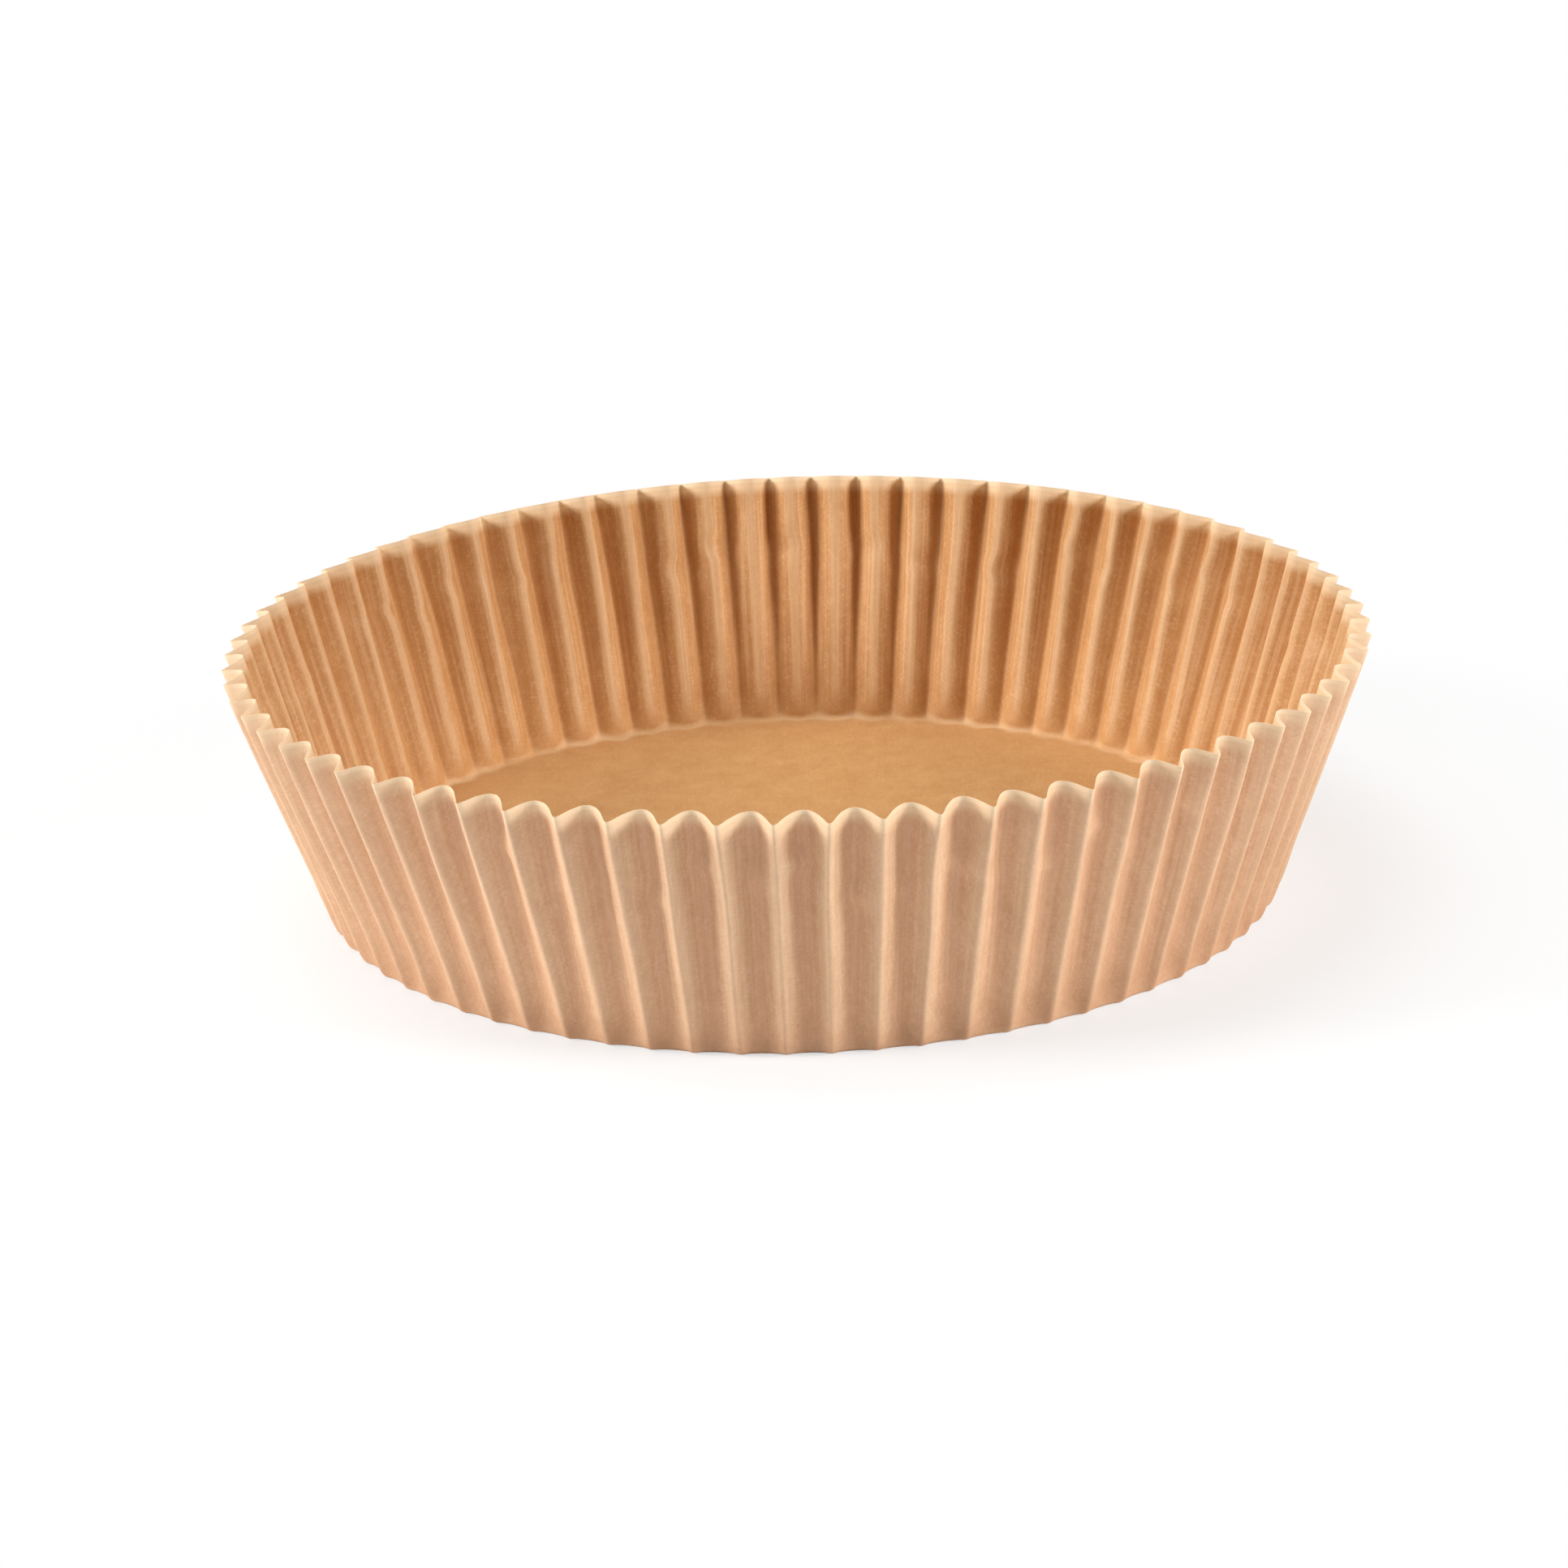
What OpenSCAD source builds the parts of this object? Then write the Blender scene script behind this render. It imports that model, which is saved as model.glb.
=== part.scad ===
// Round paper liner for an air fryer basket: one flat disc of greaseproof paper,
// pressed into a flat base and a leaning wall of rounded flutes.
// Units are millimetres. The origin is the centre of the base's underside, and +Z is up.

/* [Sheet] */
// Diameter of the flat disc of paper that the liner is pressed from
sheet_d = 250; // [220:1:280]
// Thickness of the paper
paper_t = 0.06; // [0.04:0.01:0.4]

/* [Cup] */
// Diameter of the base, measured to the corner where its plane meets the wall's
base_d = 160; // [130:1:180]
// Lean of the wall outward from upright, in degrees
wall_lean = 17; // [6:1:30]
// Radius of the bend between the base and the wall, at the middle of the paper
corner_r = 3; // [1:0.25:6]

/* [Flutes] */
// Number of flutes round the wall
flute_count = 72; // [48:4:84]
// How soft the folds are, in degrees: near 0 the wall is a zigzag, near 90 a sine wave
fold_softness = 28; // [10:1:70]

/* [Hidden] */
paper_color = [0.83, 0.64, 0.46];

// Lines along the paper, measured from the sheet's centre
wall_rise = 90 - wall_lean;
base_flat_r = base_d / 2 - corner_r * tan(wall_rise / 2);
bend_end = base_flat_r + corner_r * wall_rise * PI / 180;
rim_s = sheet_d / 2;

// Where the mesh has a ring: through the bend, then at shares of the wall that are
// closer together low down, because the flutes deepen fastest there
bend_shares = [0, 0.5, 1];
wall_shares = [0.08, 0.34, 1];
ring_s = concat(
    [for (share = bend_shares) base_flat_r + share * (bend_end - base_flat_r)],
    [for (share = wall_shares) bend_end + share * (rim_s - bend_end)]
);

// Where the mesh has a column, as degrees through one flute: 0 is its inner fold and
// 180 its outer one, and the long straight flank lies between
column_phases = [-40, 0, 40, 140, 180, 220];
column_turn = [
    for (flute = [0 : flute_count - 1])
        for (phase = column_phases)
            flute * 360 + phase
];

rings = len(ring_s);
columns = len(column_turn);

// The folds' softness as the share of an arcsine's range that the wave swings through
fold_reach = cos(fold_softness);

// How steeply the unfluted cup rises, in degrees, at a distance s along the paper
function rise(s) =
    s <= base_flat_r ? 0 :
    s >= bend_end ? wall_rise :
    wall_rise * (s - base_flat_r) / (bend_end - base_flat_r);

// Radius and height of the unfluted cup's middle surface at s
function cup_r(s) =
    min(s, base_flat_r) + corner_r * sin(rise(s)) + max(0, s - bend_end) * cos(wall_rise);
function cup_z(s) =
    paper_t / 2 + corner_r * (1 - cos(rise(s))) + max(0, s - bend_end) * sin(wall_rise);

// Paper doesn't stretch, so the length round the sheet at s has to fit in the shorter
// way round the cup. The flutes take up the difference, as a zigzag of this depth.
function flute_depth(s) =
    PI * cup_r(s) / flute_count * sqrt(max(0, pow(s / cup_r(s), 2) - 1));

// A rounded zigzag from -1, the inner fold, to 1, the outer fold, and its slope per radian
function wave(turn) = -asin(fold_reach * cos(turn)) / asin(fold_reach);
function wave_slope(turn) =
    fold_reach * sin(turn) * 180 / PI
    / sqrt(1 - pow(fold_reach * cos(turn), 2)) / asin(fold_reach);

// A point on the liner at s, on the outer side (1) or the inner side (-1) of the paper
function skin_point(s, turn, side) =
    let (
        angle = turn / flute_count,
        away = [sin(rise(s)), -cos(rise(s))],
        offset = flute_depth(s) / 2 * wave(turn),
        flank = flute_depth(s) / 2 * wave_slope(turn) * flute_count / cup_r(s),
        half_t = side * paper_t / 2 / sqrt(1 + flank * flank),
        radial = cup_r(s) + (offset + half_t) * away[0],
        around = -half_t * flank
    )
    [
        radial * cos(angle) - around * sin(angle),
        radial * sin(angle) + around * cos(angle),
        cup_z(s) + (offset + half_t) * away[1]
    ];

module liner() {
    skin_size = rings * columns;
    outer = [for (s = ring_s) for (turn = column_turn) skin_point(s, turn, 1)];
    inner = [for (s = ring_s) for (turn = column_turn) skin_point(s, turn, -1)];
    under_centre = 2 * skin_size;
    floor_centre = under_centre + 1;
    top_ring = (rings - 1) * columns;

    outer_faces = [
        for (ring = [0 : rings - 2])
            for (column = [0 : columns - 1])
                let (
                    low = ring * columns + column,
                    next_low = ring * columns + (column + 1) % columns
                )
                each [
                    [low, low + columns, next_low + columns],
                    [low, next_low + columns, next_low]
                ]
    ];
    inner_faces = [
        for (face = outer_faces) [face[0] + skin_size, face[2] + skin_size, face[1] + skin_size]
    ];
    rim_faces = [
        for (column = [0 : columns - 1])
            let (
                here = top_ring + column,
                next = top_ring + (column + 1) % columns
            )
            each [
                [here, here + skin_size, next + skin_size],
                [here, next + skin_size, next]
            ]
    ];
    base_faces = [
        for (column = [0 : columns - 1])
            let (next = (column + 1) % columns)
            each [
                [under_centre, column, next],
                [floor_centre, next + skin_size, column + skin_size]
            ]
    ];

    color(paper_color)
        polyhedron(
            points = concat(outer, inner, [[0, 0, 0], [0, 0, paper_t]]),
            faces = concat(outer_faces, inner_faces, rim_faces, base_faces),
            convexity = 10
        );
}

liner();
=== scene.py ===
# Round fluted paper liner for an air fryer basket, dressed for the render.
# Lengths are metres. The origin is the centre of the base's underside, and +Z is up.
import math
import random

import bpy
import numpy as np
from mathutils import Matrix, Vector


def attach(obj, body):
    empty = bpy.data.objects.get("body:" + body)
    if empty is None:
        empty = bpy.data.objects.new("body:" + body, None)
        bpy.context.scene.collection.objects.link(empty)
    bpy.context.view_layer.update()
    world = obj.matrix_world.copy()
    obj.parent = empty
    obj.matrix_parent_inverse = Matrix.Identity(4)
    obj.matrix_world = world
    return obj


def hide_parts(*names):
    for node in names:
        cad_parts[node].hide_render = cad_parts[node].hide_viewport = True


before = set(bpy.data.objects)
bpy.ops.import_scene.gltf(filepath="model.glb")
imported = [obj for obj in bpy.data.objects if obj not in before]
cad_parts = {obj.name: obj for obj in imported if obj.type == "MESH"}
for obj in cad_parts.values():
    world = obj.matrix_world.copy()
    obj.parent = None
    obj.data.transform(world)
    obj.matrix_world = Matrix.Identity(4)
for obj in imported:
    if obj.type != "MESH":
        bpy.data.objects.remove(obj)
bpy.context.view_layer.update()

MM = 0.001

# The sheet and the cup that it is pressed into, as in the CAD model but with a crisper bend
SHEET_R = 125 * MM
PAPER_T = 0.06 * MM
BASE_R = 80 * MM
WALL_RISE = math.radians(90 - 17)
CORNER_R = 1.2 * MM
FLUTES = 72
BASE_FLAT_R = BASE_R - CORNER_R * math.tan(WALL_RISE / 2)
BEND_END = BASE_FLAT_R + CORNER_R * WALL_RISE
RIM_HEIGHT = (
    PAPER_T / 2
    + CORNER_R * (1 - math.cos(WALL_RISE))
    + (SHEET_R - BEND_END) * math.sin(WALL_RISE)
)

# How the mesh is divided
COLUMNS_PER_FLUTE = 16
COLUMNS = FLUTES * COLUMNS_PER_FLUTE
FOLDS = 2 * FLUTES
BEND_RINGS = 5
WALL_RINGS = 31
FLOOR_STEP = 3 * MM
FLOOR_SPACING = 1.7 * MM
FLOOR_LEAST_R = 6 * MM
WALL_CROWDING = 1.35
SHARP_ANGLE = math.radians(60)

# The rounded share of a flank beside an inner fold, by how far up the wall, and beside an outer one
FOOT_INNER_ROUND = 0.8
INNER_ROUND = 0.38
RIM_INNER_ROUND = 0.82
FOOT_ROUND_REACH = 24 * MM
RIM_ROUND_REACH = 6 * MM
OUTER_ROUND = 0.16

# How uneven the pressed paper is
SEED = 20
PITCH_JITTER = 0.035
DEPTH_JITTER = 0.06
WANDER = 0.045
WANDER_TURNS = (0.6, 1.6)
KINK_CHANCE = 0.7
KINK_PLACE = (0.64, 0.8)
KINK_SHIFT = 0.14
KINK_STEP = 0.05
KINK_PINCH = 0.36
KINK_WIDTH = 1.7 * MM
CREASE_DEPTH = 0.045 * MM
CREASE_TURNS = (0.3, 1.2)
CREASE_START = (0.04, 0.3)
OVAL = 0.008
FLOOR_LIFT = 0.35 * MM
FLOOR_LEVEL_EDGE = 14 * MM
FOOT_REACH = 2.2 * MM
FOOT_DEPTH = 0.6 * MM

# Where the shallow flutes of the foot begin, reach their depth, and give way to the wall's own
FOOT_FROM = BASE_FLAT_R - 0.4 * MM
FOOT_FULL = BEND_END + 0.6 * MM
FOOT_FADE_FROM = BEND_END + 2 * MM
FOOT_FADE_TO = BEND_END + 10 * MM

# The paper's marks and the bend's painted highlight: how many there are to a metre of sheet, and for
# fibres the way they lie too
FIBRES = ((20, 6, 2600), (-48, 5, 2300), (85, 6, 2100))
CLOUD_SCALE = 170
PATCH_SCALE = 38
MOTTLE_SCALE = 900
BLOTCH_SCALE = 420
SPECK_SCALE = 1500
SCALLOP_SCALE = 140
LINES_PER_FLUTE = 12.0
# Shape of the painted highlight along the bend round the floor
SCALLOP_DEPTH = 0.5 * MM
SCALLOP_WANDER = 0.6 * MM
BEND_HIGHLIGHT_WIDTH = 1.4 * MM
GRAIN_HEIGHT = 0.18 * MM

# Tones that both sides of the paper share, the painted highlight on the rim's cut edge among them, and
# how much light comes through the paper
FIBRE_TONE = (0.50, 0.26, 0.11, 1)
SPECK_TONE = (0.42, 0.21, 0.09, 1)
LINE_TONE = (0.50, 0.24, 0.10, 1)
RIM_EDGE_HIGHLIGHT = (1.0, 0.85, 0.60, 1)
THROUGH_TINT = (1.0, 0.78, 0.55, 1)
THROUGH_SHARE = 0.16

# Each side's tones, and how strongly its painted ridge highlights and groove shade, blotches, painted
# rim highlight and pressed lines show; the inside's tones are darker and more orange as painted shade of
# the cup's hollow
SHADED_INSIDE = {
    "ridge_side": 1.0,
    "flute_paint_share": 0.4,
    "ridge_highlight_start": 0.55,
    "blotch_share": 0.12,
    "rim_highlight_share": 0.78,
    "line_share": 0.45,
    "dim": (0.66, 0.345, 0.13, 1),
    "clear": (0.75, 0.435, 0.18, 1),
    "warm": (0.73, 0.385, 0.15, 1),
    "blotch_and_shade": (0.57, 0.255, 0.07, 1),
    "pale_and_highlight": (0.92, 0.66, 0.39, 1),
    "rim": (0.98, 0.79, 0.51, 1),
}
OUTSIDE = {
    "ridge_side": -1.0,
    "flute_paint_share": 0.36,
    "ridge_highlight_start": -0.35,
    "blotch_share": 0.3,
    "rim_highlight_share": 0.6,
    "line_share": 0.28,
    "dim": (0.75, 0.45, 0.262, 1),
    "clear": (0.84, 0.545, 0.338, 1),
    "warm": (0.81, 0.485, 0.285, 1),
    "blotch_and_shade": (0.70, 0.395, 0.225, 1),
    "pale_and_highlight": (0.94, 0.70, 0.46, 1),
    "rim": (0.98, 0.80, 0.53, 1),
}

# The table, which lies a hair lower than the liner, and how far round it the shadow shows
TABLE_HALF = 6.0
TABLE_Z = -0.00002
TABLE_TONE = (0.92, 0.92, 0.92, 1)
SHADOW_NEAR = 0.09
SHADOW_FAR = 0.20
SHADOW_WHITE = 0.65

# Softboxes: name, place, side and watts
LAMPS = (
    ("left_softbox", (-1.21, -0.24, 0.64), 0.45, 17.1),
    ("right_softbox", (1.17, -0.40, 0.605), 0.45, 15.6),
    ("top_softbox", (-0.35, 0.18, 1.26), 0.8, 9.6),
)
ROOM_STRENGTH = 0.04

# Where the photograph shows the liner: the frame's side, the rim's centre and the scale there
PHOTO_PX = 1932
RIM_CENTRE_PX = (980, 772)
PX_PER_M = 7377
VIEW_ELEVATION = math.radians(17.5)
VIEW_ROLL = math.radians(1.84)
VIEW_DISTANCE = 0.71
SENSOR_MM = 36


def smooth_step(low, high, value):
    """0 below low, 1 above high, and a smooth climb between them."""
    share = np.clip((value - low) / (high - low), 0, 1)
    return share * share * (3 - 2 * share)


def cup_profile(s):
    """Radius, height and rise of the cup without its flutes, at a distance s along the paper."""
    rise = np.clip((s - BASE_FLAT_R) / (BEND_END - BASE_FLAT_R), 0, 1) * WALL_RISE
    up_wall = np.maximum(0, s - BEND_END)
    radius = np.minimum(s, BASE_FLAT_R) + CORNER_R * np.sin(rise) + up_wall * math.cos(WALL_RISE)
    height = PAPER_T / 2 + CORNER_R * (1 - np.cos(rise)) + up_wall * math.sin(WALL_RISE)
    return radius, height, rise


def flute_depth(s):
    """Depth from fold to fold that takes up the sheet's spare length round the cup at s."""
    radius = cup_profile(s)[0]
    spare = np.sqrt(np.maximum(0, (s / radius) ** 2 - 1))
    foot = FOOT_DEPTH * smooth_step(FOOT_FROM, FOOT_FULL, s)
    foot = foot * (1 - smooth_step(FOOT_FADE_FROM, FOOT_FADE_TO, s))
    return math.pi * radius / FLUTES * spare + foot


def flank_shape(share, inner_round):
    """0 at the inner fold to 1 at the outer one: a straight flank with a rounded fold at each end."""
    slope = 1 / (1 - inner_round / 2 - OUTER_ROUND / 2)
    rounded_in = slope * share**2 / (2 * inner_round)
    straight = slope * (share - inner_round / 2)
    rounded_out = 1 - slope * (1 - share) ** 2 / (2 * OUTER_ROUND)
    return np.where(
        share < inner_round, rounded_in, np.where(share > 1 - OUTER_ROUND, rounded_out, straight)
    )


def column_places():
    """Each column's fold, its share of the way to the next, and whether it starts at an inner one."""
    half = COLUMNS_PER_FLUTE // 2
    column = np.arange(COLUMNS)
    fold = column // half
    starts_inside = fold % 2 == 0
    step = (column % half) / half

    # Columns stand closer together by the sharper outer fold
    inward = np.where(starts_inside, step, 1 - step)
    inward = (inward + np.sin(inward * math.pi / 2)) / 2
    return fold, np.where(starts_inside, inward, 1 - inward), starts_inside


def creases(s):
    """Small creases that pressing leaves along the flanks, as offsets by ring and column."""
    chance = random.Random(SEED + 1)
    share = (s - BEND_END) / (SHEET_R - BEND_END)
    shown = smooth_step(*CREASE_START, share)
    offsets = np.zeros((len(s), COLUMNS))
    for column in range(COLUMNS):
        size = CREASE_DEPTH * chance.uniform(-1, 1)
        turns = chance.uniform(*CREASE_TURNS)
        start = chance.uniform(0, 2 * math.pi)
        if column % (COLUMNS_PER_FLUTE // 2):
            swell = 0.6 + 0.4 * np.sin(2 * math.pi * turns * share + start)
            offsets[:, column] = size * shown * swell
    return offsets


def fold_lines(s):
    """Angle and depth factor of every fold at every s, with the unevenness of pressed paper."""
    chance = random.Random(SEED)
    pitch = 2 * math.pi / FLUTES
    up_wall = smooth_step(BEND_END, SHEET_R, s)
    angles = np.zeros((len(s), FOLDS))
    depths = np.zeros((len(s), FOLDS))
    for fold in range(FOLDS):
        shift = PITCH_JITTER * chance.uniform(-1, 1)
        swing = WANDER * chance.uniform(-1, 1)
        turns = chance.uniform(*WANDER_TURNS)
        start = chance.uniform(0, 2 * math.pi)
        share = (s - BEND_END) / (SHEET_R - BEND_END)
        wander = swing * up_wall * np.sin(2 * math.pi * turns * share + start)
        depth = 1 + DEPTH_JITTER * chance.uniform(-1, 1) + 0.5 * DEPTH_JITTER * wander / WANDER
        kinked = chance.random() < KINK_CHANCE and fold % 2 == 0
        kink_at = BEND_END + chance.uniform(*KINK_PLACE) * (SHEET_R - BEND_END)
        kink_shift = KINK_SHIFT * chance.uniform(-1, 1)
        kink_step = KINK_STEP * chance.uniform(-1, 1)
        kink_pinch = KINK_PINCH * chance.uniform(0.2, 1)
        if kinked:
            bump = np.exp(-(((s - kink_at) / KINK_WIDTH) ** 2))
            step = smooth_step(kink_at - KINK_WIDTH, kink_at + KINK_WIDTH, s)
            wander = wander + kink_shift * bump + kink_step * step
            depth = depth * (1 - kink_pinch * bump)
        angles[:, fold] = -math.pi / 2 + pitch * (fold / 2 + shift + wander)
        depths[:, fold] = depth
    return angles, depths


def out_of_round(angle, s):
    """A share to stretch the radius by: a liner is never quite round at its rim."""
    up = smooth_step(BASE_FLAT_R, SHEET_R, s)
    return up * OVAL * (np.sin(2 * angle + 0.3) + 0.45 * np.cos(3 * angle + 1))


def wall_surface(s):
    """Middle of the paper over the bend and the wall, as an array of rings by columns by XYZ."""
    fold_angle, fold_depth = fold_lines(s)
    fold, share, starts_inside = column_places()
    next_fold = (fold + 1) % FOLDS
    full_turn = np.where(next_fold == 0, 2 * math.pi, 0)
    angle = fold_angle[:, fold] * (1 - share) + (fold_angle[:, next_fold] + full_turn) * share

    # Even folds are inner ones and odd folds are outer ones
    near_foot = 1 - smooth_step(BEND_END, BEND_END + FOOT_ROUND_REACH, s)[:, None]
    near_rim = smooth_step(SHEET_R - RIM_ROUND_REACH, SHEET_R, s)[:, None]
    inner_round = INNER_ROUND + (FOOT_INNER_ROUND - INNER_ROUND) * near_foot
    inner_round = inner_round + (RIM_INNER_ROUND - INNER_ROUND) * near_rim
    outward = flank_shape(np.where(starts_inside, share, 1 - share)[None, :], inner_round)
    inner_depth = np.where(starts_inside, fold_depth[:, fold], fold_depth[:, next_fold])
    outer_depth = np.where(starts_inside, fold_depth[:, next_fold], fold_depth[:, fold])
    offset = outer_depth * outward - inner_depth * (1 - outward)
    offset = offset * flute_depth(s)[:, None] / 2 + creases(s)

    radius, height, rise = (value[:, None] for value in cup_profile(s))
    radius = radius * (1 + out_of_round(angle, s[:, None])) + offset * np.sin(rise)
    height = height - offset * np.cos(rise)
    return np.stack([radius * np.cos(angle), radius * np.sin(angle), height], axis=-1), angle


def floor_height(x, y):
    """Height of the paper's middle over the floor, which bellies up a little between its edges."""
    r = np.hypot(x, y)
    ripple = (
        np.sin(x / (17 * MM) + 1.3 * np.sin(y / (31 * MM)))
        + np.sin(y / (13 * MM) - 0.9 * np.sin(x / (23 * MM)) + 2)
        + 0.5 * np.sin((x + 1.7 * y) / (9 * MM) + 1)
    )
    inside = 1 - smooth_step(BASE_FLAT_R - FLOOR_LEVEL_EDGE, BASE_FLAT_R - FOOT_REACH, r)
    return PAPER_T / 2 + FLOOR_LIFT * inside * (0.5 + ripple / 5)


def floor_rings():
    """Radius and number of columns of each ring of the floor, from its edge inward."""
    rings = []
    radius = BASE_FLAT_R - FOOT_REACH
    count = COLUMNS
    while radius > FLOOR_LEAST_R:
        rings.append((radius, count))
        if 2 * math.pi * radius / count < FLOOR_SPACING and count % 2 == 0:
            count //= 2
        radius -= FLOOR_STEP
    return rings


def ring_faces(outside, inside):
    """Triangles between two rings of the floor: equal, or the inner one with half the columns."""
    faces = []
    count = len(outside)
    if len(inside) == count:
        for i in range(count):
            j = (i + 1) % count
            faces += [(outside[i], outside[j], inside[j]), (outside[i], inside[j], inside[i])]
        return faces
    for i in range(len(inside)):
        j = (i + 1) % len(inside)
        first, middle, last = (outside[(2 * i + k) % count] for k in range(3))
        faces += [(first, middle, inside[i]), (middle, inside[j], inside[i])]
        faces.append((middle, last, inside[j]))
    return faces


def sheet_surface():
    """Points on the paper's middle with their flat-sheet and flute coordinates, and its faces."""
    lead = [BASE_FLAT_R - FOOT_REACH, BASE_FLAT_R - FOOT_REACH / 3]
    bend = np.concatenate([lead, np.linspace(BASE_FLAT_R, BEND_END, BEND_RINGS)])
    wall_share = np.linspace(0, 1, WALL_RINGS + 1)[1:] ** WALL_CROWDING
    wall = BEND_END + (SHEET_R - BEND_END) * wall_share
    s = np.concatenate([bend, wall])
    points, angle = wall_surface(s)
    fold, share, _ = column_places()
    flute = np.broadcast_to((fold + share) / 2, angle.shape)
    even_angle = -math.pi / 2 + flute * 2 * math.pi / FLUTES
    along = np.broadcast_to(s[:, None], angle.shape)
    flat = np.stack([along * np.cos(even_angle), along * np.sin(even_angle)], axis=-1)
    up = np.clip((along - BEND_END) / (SHEET_R - BEND_END), 0, 1)
    chart = np.stack([flute, up], axis=-1)

    points, flat, chart = (part.reshape(-1, part.shape[-1]).tolist() for part in (points, flat, chart))
    faces = []
    for ring in range(len(s) - 1):
        for column in range(COLUMNS):
            beside = (column + 1) % COLUMNS
            low, high = ring * COLUMNS, (ring + 1) * COLUMNS
            faces.append((low + column, high + column, high + beside, low + beside))

    outside = list(range(COLUMNS))
    for radius, count in floor_rings()[1:]:
        inside = list(range(len(points), len(points) + count))
        for i in range(count):
            turn = -math.pi / 2 + 2 * math.pi * i / count
            x, y = radius * math.cos(turn), radius * math.sin(turn)
            points.append([x, y, float(floor_height(x, y))])
            flat.append([x, y])
            chart.append([FLUTES * i / count, 0.0])
        faces += ring_faces(outside, inside)
        outside = inside
    points.append([0.0, 0.0, float(floor_height(0.0, 0.0))])
    flat.append([0.0, 0.0])
    chart.append([0.0, 0.0])
    centre = len(points) - 1
    faces += [(outside[i], outside[(i + 1) % len(outside)], centre) for i in range(len(outside))]
    top_ring = [(len(s) - 1) * COLUMNS + column for column in range(COLUMNS)]
    return np.array(points), np.array(flat), np.array(chart), faces, top_ring


def inward_normals(points, faces):
    """Unit normals at the points, on the side that holds the food."""
    normals = np.zeros_like(points)
    for size in (3, 4):
        group = np.array([face for face in faces if len(face) == size])
        if len(group) == 0:
            continue
        corners = points[group]
        across = np.cross(corners[:, 2] - corners[:, 0], corners[:, -1] - corners[:, 1])
        if size == 3:
            across = np.cross(corners[:, 1] - corners[:, 0], corners[:, 2] - corners[:, 0])
        for k in range(size):
            np.add.at(normals, group[:, k], across)
    return normals / np.linalg.norm(normals, axis=1, keepdims=True)


def build_liner():
    """The whole liner as one closed mesh with the paper's real thickness."""
    points, flat, chart, faces, top_ring = sheet_surface()
    normals = inward_normals(points, faces)
    if normals[-1][2] < 0:
        faces = [face[::-1] for face in faces]
        normals = -normals
    count = len(points)
    inner = points + normals * PAPER_T / 2
    outer = points - normals * PAPER_T / 2
    outer[:, 2] = np.maximum(outer[:, 2], 0)
    all_faces = list(faces)
    all_faces += [tuple(index + count for index in face[::-1]) for face in faces]
    for column, here in enumerate(top_ring):
        beside = top_ring[(column + 1) % COLUMNS]
        all_faces.append((beside, here, here + count, beside + count))

    mesh = bpy.data.meshes.new("liner_sheet")
    mesh.from_pydata(np.concatenate([inner, outer]).tolist(), [], all_faces)
    corner_point = np.zeros(len(mesh.loops), dtype=np.int32)
    mesh.loops.foreach_get("vertex_index", corner_point)
    for name, coords in (("sheet", flat), ("flutes", chart)):
        values = np.concatenate([coords, coords])[corner_point]
        if name == "flutes":
            values = unwrap_chart(mesh, values)
        layer = mesh.uv_layers.new(name=name)
        layer.data.foreach_set("uv", values.astype(np.float32).ravel())
    inner_faces = len(faces)
    for polygon in mesh.polygons[inner_faces : 2 * inner_faces]:
        polygon.material_index = 1
    mesh.shade_smooth()
    mesh.set_sharp_from_angle(angle=SHARP_ANGLE)
    mesh.validate()
    liner = bpy.data.objects.new("liner_sheet", mesh)
    bpy.context.scene.collection.objects.link(liner)
    return liner


def unwrap_chart(mesh, values):
    """Carry the flute count on where a face crosses from the last flute to the first."""
    starts = np.zeros(len(mesh.polygons), dtype=np.int32)
    totals = np.zeros(len(mesh.polygons), dtype=np.int32)
    mesh.polygons.foreach_get("loop_start", starts)
    mesh.polygons.foreach_get("loop_total", totals)
    face = np.repeat(np.arange(len(starts)), totals)
    most = np.zeros(len(starts))
    np.maximum.at(most, face, values[:, 0])
    wraps = (most[face] > FLUTES * 0.75) & (values[:, 0] < FLUTES * 0.25)
    values = values.copy()
    values[wraps, 0] += FLUTES
    return values


class Nodes:
    """Short calls for building a material's node tree."""

    def __init__(self, name):
        self.material = bpy.data.materials.new(name)
        self.material.use_nodes = True
        self.tree = self.material.node_tree
        self.tree.nodes.clear()

    def add(self, kind, inputs=None, **settings):
        node = self.tree.nodes.new(kind)
        for key, value in settings.items():
            setattr(node, key, value)
        for key, value in (inputs or {}).items():
            if isinstance(value, bpy.types.NodeSocket):
                self.tree.links.new(value, node.inputs[key])
            else:
                node.inputs[key].default_value = value
        return node

    def math(self, operation, first, second=0.0):
        return self.add("ShaderNodeMath", {0: first, 1: second}, operation=operation).outputs[0]

    def ramp(self, value, low, high, to_low=0.0, to_high=1.0):
        inputs = {"Value": value, 1: low, 2: high, 3: to_low, 4: to_high}
        return self.add("ShaderNodeMapRange", inputs).outputs[0]

    def noise(self, vector, scale, detail=3.0, roughness=0.55):
        inputs = {"Vector": vector, "Scale": scale, "Detail": detail, "Roughness": roughness}
        return self.add("ShaderNodeTexNoise", inputs).outputs["Fac"]

    def turned(self, vector, degrees, stretch):
        inputs = {
            "Vector": vector,
            "Rotation": (0, 0, math.radians(degrees)),
            "Scale": (stretch[0], stretch[1], 1),
        }
        return self.add("ShaderNodeMapping", inputs, vector_type="TEXTURE").outputs[0]

    def mix(self, share, first, second, blend="MIX"):
        node = self.add("ShaderNodeMix", data_type="RGBA", blend_type=blend)
        for key, value in ((0, share), (6, first), (7, second)):
            if isinstance(value, bpy.types.NodeSocket):
                self.tree.links.new(value, node.inputs[key])
            else:
                node.inputs[key].default_value = value
        return node.outputs[2]


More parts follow.
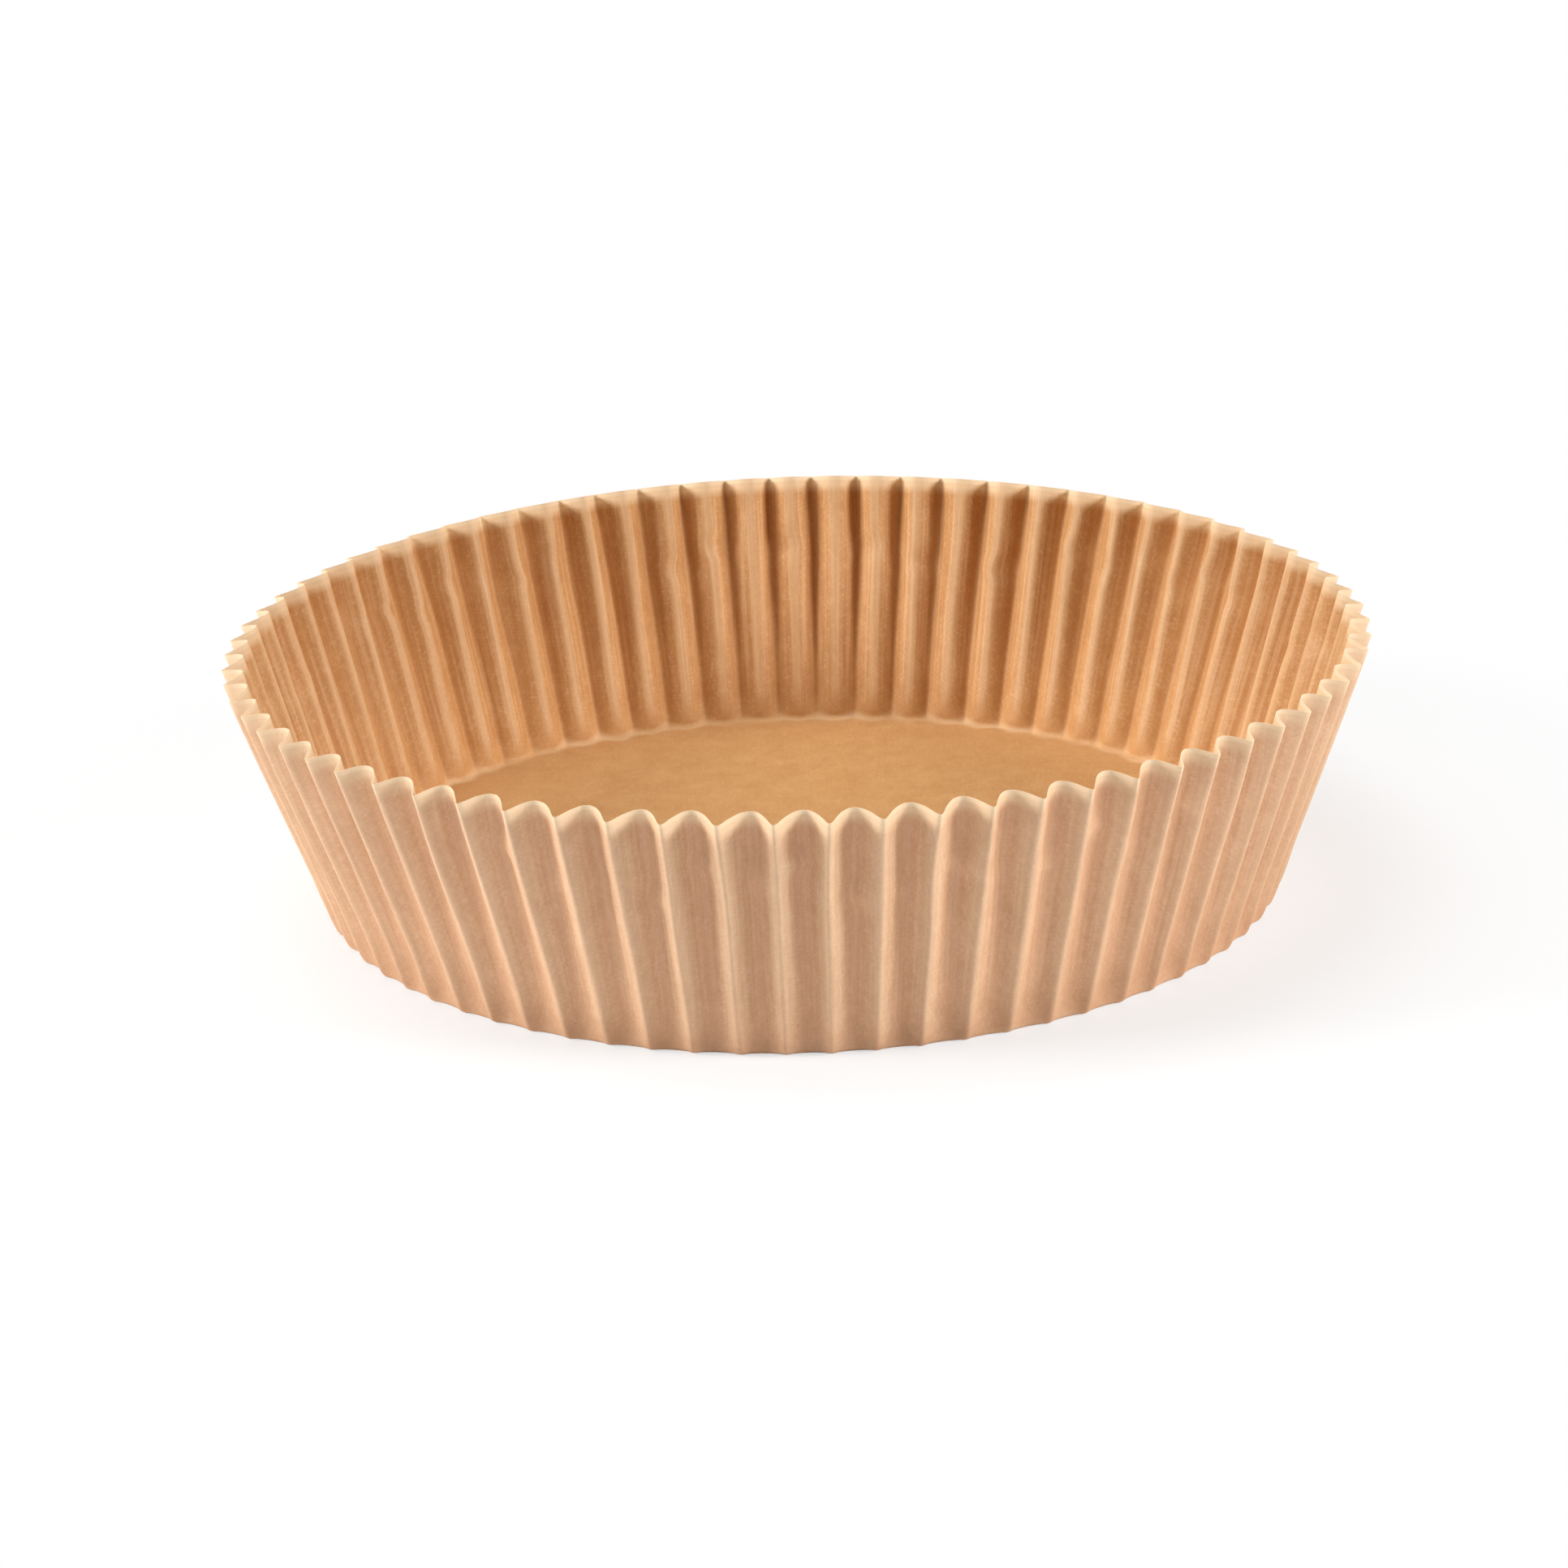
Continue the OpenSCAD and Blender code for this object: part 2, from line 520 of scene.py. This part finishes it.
def paper_material(name, look):
    """Unbleached greaseproof paper: cloudy, fibrous, a little glossy, and it lets some light through;
    painted highlights pale its rim, ridges and bend, and painted shade darkens its grooves.
    """
    n = Nodes(name)
    sheet = n.add("ShaderNodeUVMap", uv_map="sheet").outputs[0]
    chart = n.add("ShaderNodeUVMap", uv_map="flutes").outputs[0]
    flute, up_wall, _ = n.add("ShaderNodeSeparateXYZ", {0: chart}).outputs
    on_wall = n.ramp(up_wall, 0.0, 0.12)

    # Clouds, mottle and blotches of the pulp
    cloud = n.noise(sheet, CLOUD_SCALE, 5, 0.62)
    mottle = n.noise(sheet, MOTTLE_SCALE, 3, 0.6)
    blotches = n.noise(n.turned(sheet, 60, (1.6, 1)), BLOTCH_SCALE, 2, 0.5)
    patches = n.noise(sheet, PATCH_SCALE, 2, 0.5)
    tone = n.mix(n.ramp(cloud, 0.35, 0.67), look["dim"], look["clear"])
    tone = n.mix(n.ramp(mottle, 0.35, 0.65, 0.2, 0), tone, look["dim"])
    tone = n.mix(n.ramp(blotches, 0.38, 0.62, look["blotch_share"], 0), tone, look["blotch_and_shade"])
    tone = n.mix(n.ramp(patches, 0.35, 0.68, 0, 0.4), tone, look["warm"])

    # Fibres lie three ways, and show half as much on the smooth floor
    layers = [n.noise(n.turned(sheet, turn, (long, 1)), scale, 2) for turn, long, scale in FIBRES]
    fibres = n.math("ADD", n.math("ADD", layers[0], layers[1]), layers[2])
    shown = n.ramp(up_wall, 0.0, 0.12, 0.5, 1)
    pale_fibres = n.math("MULTIPLY", n.ramp(fibres, 1.5, 1.9, 0, 0.42), shown)
    dark_fibres = n.math("MULTIPLY", n.ramp(fibres, 1.5, 1.15, 0, 0.2), shown)
    tone = n.mix(pale_fibres, tone, look["pale_and_highlight"])
    tone = n.mix(dark_fibres, tone, FIBRE_TONE)
    specks = n.noise(n.turned(sheet, 33, (3, 1)), SPECK_SCALE, 1)
    tone = n.mix(n.ramp(specks, 0.70, 0.76, 0, 0.2), tone, SPECK_TONE)

    # Pressing draws faint lines along the flutes, and they fade out on the flat floor
    across = n.math("MULTIPLY", flute, LINES_PER_FLUTE)
    strokes = n.add("ShaderNodeCombineXYZ", {"X": across, "Y": up_wall}).outputs[0]
    lines = n.noise(strokes, 1.0, 3, 0.6)
    pressed = n.ramp(up_wall, 0.0, 0.25)
    pale_lines = n.math("MULTIPLY", n.ramp(lines, 0.5, 0.66, 0, look["line_share"]), pressed)
    dark_share = look["line_share"] * 0.7
    dark_lines = n.math("MULTIPLY", n.ramp(lines, 0.5, 0.34, 0, dark_share), pressed)
    tone = n.mix(pale_lines, tone, look["pale_and_highlight"])
    tone = n.mix(dark_lines, tone, LINE_TONE)

    # The bend round the floor is a paler, scalloped line, fainter in places: a painted highlight on the
    # fold
    radius = n.add("ShaderNodeVectorMath", {0: sheet}, operation="LENGTH").outputs["Value"]
    swing = n.math("COSINE", n.math("MULTIPLY", flute, 2 * math.pi))
    scallop = n.math("ADD", n.math("MULTIPLY", swing, -SCALLOP_DEPTH), BASE_FLAT_R + 0.2 * MM)
    drift = n.noise(sheet, SCALLOP_SCALE, 1)
    scallop = n.math("ADD", scallop, n.ramp(drift, 0.3, 0.7, -SCALLOP_WANDER, SCALLOP_WANDER))
    off_bend = n.math("ABSOLUTE", n.math("SUBTRACT", radius, scallop))
    bend = n.ramp(off_bend, 0.0, BEND_HIGHLIGHT_WIDTH, 0.6, 0)
    bend = n.math("MULTIPLY", bend, n.ramp(patches, 0.38, 0.6, 0.2, 1))
    tone = n.mix(bend, tone, look["pale_and_highlight"])

    # Painted highlights: the rim and its cut edge are paler, and so are the ridges, where the folds
    # catch the light
    tone = n.mix(n.ramp(up_wall, 0.93, 0.965, 0, look["rim_highlight_share"]), tone, look["rim"])
    tone = n.mix(n.ramp(up_wall, 0.978, 0.988, 0, look["rim_highlight_share"]), tone, RIM_EDGE_HIGHLIGHT)
    ridge = n.math("MULTIPLY", swing, look["ridge_side"])
    ridge_highlight = n.ramp(ridge, look["ridge_highlight_start"], 1.0, 0, look["flute_paint_share"])
    tone = n.mix(n.math("MULTIPLY", ridge_highlight, on_wall), tone, look["pale_and_highlight"])
    # Painted shade: the grooves of the wall below the rim are darker and more orange
    below_rim = n.math("MULTIPLY", on_wall, n.ramp(up_wall, 0.97, 0.93))
    groove_shade = n.ramp(ridge, 0.0, -0.9, 0, look["flute_paint_share"])
    tone = n.mix(n.math("MULTIPLY", groove_shade, below_rim), tone, look["blotch_and_shade"])

    grain = n.math("ADD", n.math("MULTIPLY", fibres, 0.4), cloud)
    bump = n.add("ShaderNodeBump", {"Strength": 0.23, "Distance": GRAIN_HEIGHT, "Height": grain})
    paper = n.add(
        "ShaderNodeBsdfPrincipled",
        {
            "Base Color": tone,
            "Roughness": n.ramp(cloud, 0.3, 0.7, 0.48, 0.62),
            "Specular IOR Level": 0.32,
            "Normal": bump.outputs[0],
        },
    )
    through = n.mix(1.0, tone, THROUGH_TINT, "MULTIPLY")
    glow = n.add("ShaderNodeBsdfTranslucent", {"Color": through, "Normal": bump.outputs[0]})
    shaders = {0: THROUGH_SHARE, 1: paper.outputs[0], 2: glow.outputs[0]}
    both = n.add("ShaderNodeMixShader", shaders)
    n.add("ShaderNodeOutputMaterial", {0: both.outputs[0]})
    return n.material


def floor_material():
    """A white table that keeps the liner's shadow and renders as a white background."""
    n = Nodes("white_table")
    camera_ray = n.add("ShaderNodeLightPath").outputs["Is Camera Ray"]
    place = n.add("ShaderNodeTexCoord").outputs["Object"]
    away = n.add("ShaderNodeVectorMath", {0: place}, operation="LENGTH").outputs["Value"]
    table = n.add("ShaderNodeBsdfDiffuse", {"Color": TABLE_TONE})
    white = n.add("ShaderNodeEmission", {"Color": (1, 1, 1, 1), "Strength": 1.0})
    share = n.math("MULTIPLY", camera_ray, n.ramp(away, SHADOW_NEAR, SHADOW_FAR, SHADOW_WHITE, 1.0))
    seen = n.add("ShaderNodeMixShader", {0: share, 1: table.outputs[0], 2: white.outputs[0]})
    n.add("ShaderNodeOutputMaterial", {0: seen.outputs[0]})
    return n.material


def build_floor():
    """The table that the liner stands on."""
    half = TABLE_HALF
    corners = [(-half, -half, 0), (half, -half, 0), (half, half, 0), (-half, half, 0)]
    mesh = bpy.data.meshes.new("table")
    mesh.from_pydata(corners, [], [(0, 1, 2, 3)])
    mesh.materials.append(floor_material())
    table = bpy.data.objects.new("table", mesh)
    table.location.z = TABLE_Z
    bpy.context.scene.collection.objects.link(table)
    return table


def add_softbox(name, place, size, power):
    """A square studio lamp that faces the liner."""
    lamp = bpy.data.lights.new(name, "AREA")
    lamp.shape = "SQUARE"
    lamp.size = size
    lamp.energy = power
    holder = bpy.data.objects.new(name, lamp)
    holder.location = place
    aim = Vector((0, 0, RIM_HEIGHT / 2)) - Vector(place)
    holder.rotation_euler = aim.to_track_quat("-Z", "Y").to_euler()
    bpy.context.scene.collection.objects.link(holder)


def light_scene():
    """Two softboxes low at the sides, a weaker one above, and an even white room."""
    for lamp in LAMPS:
        add_softbox(*lamp)
    world = bpy.data.worlds.new("white_room")
    bpy.context.scene.world = world
    world.use_nodes = True
    tree = world.node_tree
    tree.nodes.clear()
    room = tree.nodes.new("ShaderNodeBackground")
    room.inputs["Strength"].default_value = ROOM_STRENGTH
    seen = tree.nodes.new("ShaderNodeBackground")
    seen.inputs["Strength"].default_value = 1.0
    for background in (room, seen):
        background.inputs["Color"].default_value = (1, 1, 1, 1)
    rays = tree.nodes.new("ShaderNodeLightPath")
    mix = tree.nodes.new("ShaderNodeMixShader")
    out = tree.nodes.new("ShaderNodeOutputWorld")
    tree.links.new(rays.outputs["Is Camera Ray"], mix.inputs[0])
    tree.links.new(room.outputs[0], mix.inputs[1])
    tree.links.new(seen.outputs[0], mix.inputs[2])
    tree.links.new(mix.outputs[0], out.inputs[0])


def add_camera():
    """A camera that puts the rim where the photograph has it."""
    target = Vector((0, 0, RIM_HEIGHT))
    back = Vector((0, -math.cos(VIEW_ELEVATION), math.sin(VIEW_ELEVATION)))
    upward = Vector((0, math.sin(VIEW_ELEVATION), math.cos(VIEW_ELEVATION)))
    across = Vector((1, 0, 0))
    turn_c, turn_s = math.cos(VIEW_ROLL), math.sin(VIEW_ROLL)
    frame_x = across * turn_c - upward * turn_s
    frame_y = across * turn_s + upward * turn_c
    middle = PHOTO_PX / 2
    aim = target + frame_x * (middle - RIM_CENTRE_PX[0]) / PX_PER_M
    aim -= frame_y * (middle - RIM_CENTRE_PX[1]) / PX_PER_M
    eye = target + back * VIEW_DISTANCE
    z_axis = (eye - aim).normalized()
    y_axis = (frame_y - z_axis * frame_y.dot(z_axis)).normalized()
    x_axis = y_axis.cross(z_axis)
    place = Matrix((x_axis, y_axis, z_axis)).transposed().to_4x4()
    place.translation = eye

    lens = bpy.data.cameras.new("camera")
    lens.sensor_width = SENSOR_MM
    lens.lens = PX_PER_M * VIEW_DISTANCE / PHOTO_PX * SENSOR_MM
    lens.clip_start = 0.01
    camera = bpy.data.objects.new("camera", lens)
    camera.matrix_world = place
    bpy.context.scene.collection.objects.link(camera)
    bpy.context.scene.camera = camera


add_camera()
light_scene()
bpy.context.scene.view_settings.view_transform = "Standard"

build_floor()

liner = build_liner()
# The inside's material is darker and more orange than the outside's: painted shade of the cup's hollow,
# on the same paper
liner.data.materials.append(paper_material("paper_inside_shaded", SHADED_INSIDE))
liner.data.materials.append(paper_material("paper_outside", OUTSIDE))
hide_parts("liner")
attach(liner, "root")

bpy.context.view_layer.update()
